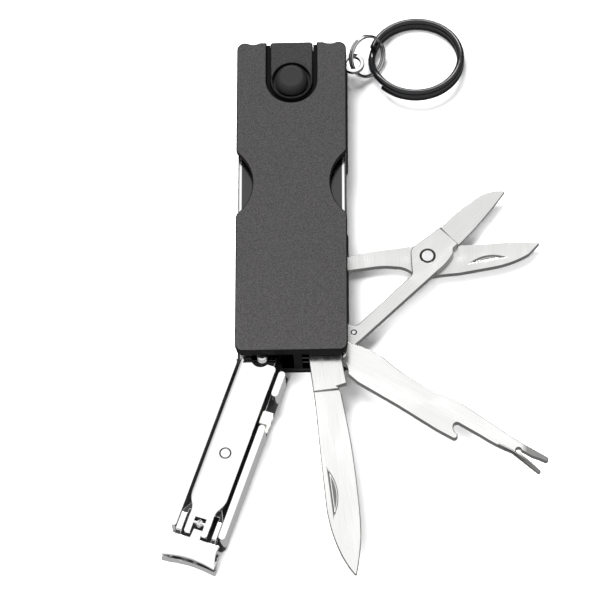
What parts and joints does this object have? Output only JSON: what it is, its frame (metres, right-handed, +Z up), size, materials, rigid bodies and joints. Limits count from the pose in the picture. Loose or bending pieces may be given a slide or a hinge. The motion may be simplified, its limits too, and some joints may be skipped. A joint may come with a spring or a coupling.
{
  "type": "key-ring multi tool",
  "caption": "Flat key-ring multi tool with fold-out nail clipper, knife, opener and sprung scissors, a push-button lamp in one end and a split ring on a side lug.",
  "frame": {"origin": "centre of the flat underside of the body", "axes": "+X to the right across the body, towards the bay of the knife, opener and scissors; +Y along the body towards the lamp; +Z up through the body, out of the side with the button"},
  "size_m": [0.0954, 0.158, 0.0161],
  "materials": {
    "cover_grey": "fine-grained matte dark grey coat",
    "frame_black": "matte black",
    "liner_steel": "polished sheet",
    "spring_steel": "plain spring steel",
    "pin_steel": "bright turned steel",
    "tool_steel": "satin, finely brushed",
    "clipper_chrome": "mirror plated",
    "lug_chrome": "bright plated",
    "catch_metal": "pale satin",
    "key_ring_black": "gloss black",
    "housing_black": "moulded black",
    "button_black": "satin black rubbery plastic",
    "cell_steel": "bright cell can",
    "board_green": "solder mask",
    "lamp_clear": "clear epoxy",
    "lead_metal": "tinned wire"
  },
  "bodies": {
    "frame": {"bottom_cover": "cover_grey", "lower_liner": "liner_steel", "upper_liner": "liner_steel", "upper_frame": "frame_black", "top_cover": "cover_grey", "centre_spine": "frame_black", "low_divider": "liner_steel", "high_divider": "liner_steel", "knife_backspring": "spring_steel", "opener_backspring": "spring_steel", "scissors_backspring": "spring_steel", "tool_pin": "pin_steel", "clipper_pin": "pin_steel", "spring_pin": "pin_steel", "lug_pin": "pin_steel", "left_spacer": "frame_black", "right_spacer_low": "frame_black", "right_spacer_top": "frame_black", "ring_lug": "lug_chrome", "cover_screws": "pin_steel", "tool_pin_washer": "pin_steel", "light_cover": "cover_grey", "light_housing": "housing_black", "battery_contact": "spring_steel", "button_cells": "cell_steel", "circuit_board": "board_green", "switch_dome": "spring_steel", "led_lamp": "lamp_clear", "led_leads": "lead_metal"},
    "button": {"light_button": "button_black"},
    "knife": {"knife_blade": "tool_steel"},
    "opener": {"opener_blade": "tool_steel"},
    "scissors": {"scissors_arm": "tool_steel", "scissors_rivet": "pin_steel", "scissors_spring": "spring_steel", "spring_rivet": "pin_steel"},
    "scissors_blade": {"scissors_lever": "tool_steel"},
    "clipper": {"clipper_casing": "clipper_chrome", "lower_jaw": "clipper_chrome", "clipper_rivet": "pin_steel", "clipper_bush": "pin_steel"},
    "jaw": {"upper_jaw": "clipper_chrome"},
    "post": {"lever_post": "pin_steel", "lever_pin": "pin_steel"},
    "lever": {"clipper_lever": "clipper_chrome", "lever_rivet": "pin_steel"},
    "catch": {"lever_catch": "catch_metal"},
    "ring": {"small_ring": "lug_chrome"},
    "keys": {"key_ring": "key_ring_black"}
  },
  "joints": [
    {"name": "knife_swing", "type": "hinge", "parent": "frame", "child": "knife", "pos_m": [0.0079, -0.0402, 0.00955], "axis": [0, 0, 1], "range_deg": [-7, 173]},
    {"name": "opener_swing", "type": "hinge", "parent": "frame", "child": "opener", "pos_m": [0.0079, -0.0402, 0.00705], "axis": [0, 0, 1], "range_deg": [-59, 121]},
    {"name": "scissors_swing", "type": "hinge", "parent": "frame", "child": "scissors", "pos_m": [0.0079, -0.0402, 0.0046], "axis": [0, 0, 1], "range_deg": [-135, 45]},
    {"name": "scissors_close", "type": "hinge", "parent": "scissors", "child": "scissors_blade", "pos_m": [0.03427, -0.01411, 0.0037], "axis": [0, 0, 1], "range_deg": [0, 40], "stiffness_Nm_per_rad": 0.02, "springref_deg": -17.19},
    {"name": "clipper_swing", "type": "hinge", "parent": "frame", "child": "clipper", "pos_m": [-0.00647, -0.0392, 0.006], "axis": [0, 0, 1], "range_deg": [-161.3, 18.7]},
    {"name": "jaw_bite", "type": "hinge", "parent": "clipper", "child": "jaw", "pos_m": [-0.00746, -0.04319, 0.00825], "axis": [0.9472, -0.3206, 0], "range_deg": [0, 1.2], "stiffness_Nm_per_rad": 5, "springref_deg": -1.15},
    {"name": "lever_turn", "type": "hinge", "parent": "clipper", "child": "post", "pos_m": [-0.02256, -0.08781, 0.006], "axis": [0, 0, 1], "range_deg": [0, 180]},
    {"name": "lever_lift", "type": "hinge", "parent": "post", "child": "lever", "pos_m": [-0.02256, -0.08781, 0.0097], "axis": [0.9472, -0.3206, 0], "range_deg": [0, 150]},
    {"name": "catch_slide", "type": "slide", "parent": "clipper", "child": "catch", "axis": [0.3206, 0.9472, 0], "range_m": [0, 0.003]},
    {"name": "button_press", "type": "slide", "parent": "frame", "child": "button", "axis": [0, 0, -1], "range_m": [0, 0.0005], "stiffness_N_per_m": 800, "springref_m": -0.0003},
    {"name": "ring_flop", "type": "hinge", "parent": "frame", "child": "ring", "pos_m": [0.01521, 0.04157, 0.00727], "axis": [0.402, -0.834, -0.378], "range_deg": [0, 30]},
    {"name": "key_ring_flop", "type": "hinge", "parent": "ring", "child": "keys", "pos_m": [0.02093, 0.04385, 0.00353], "axis": [0.06, -0.8752, 0.4801], "range_deg": [0, 110]}
  ]
}
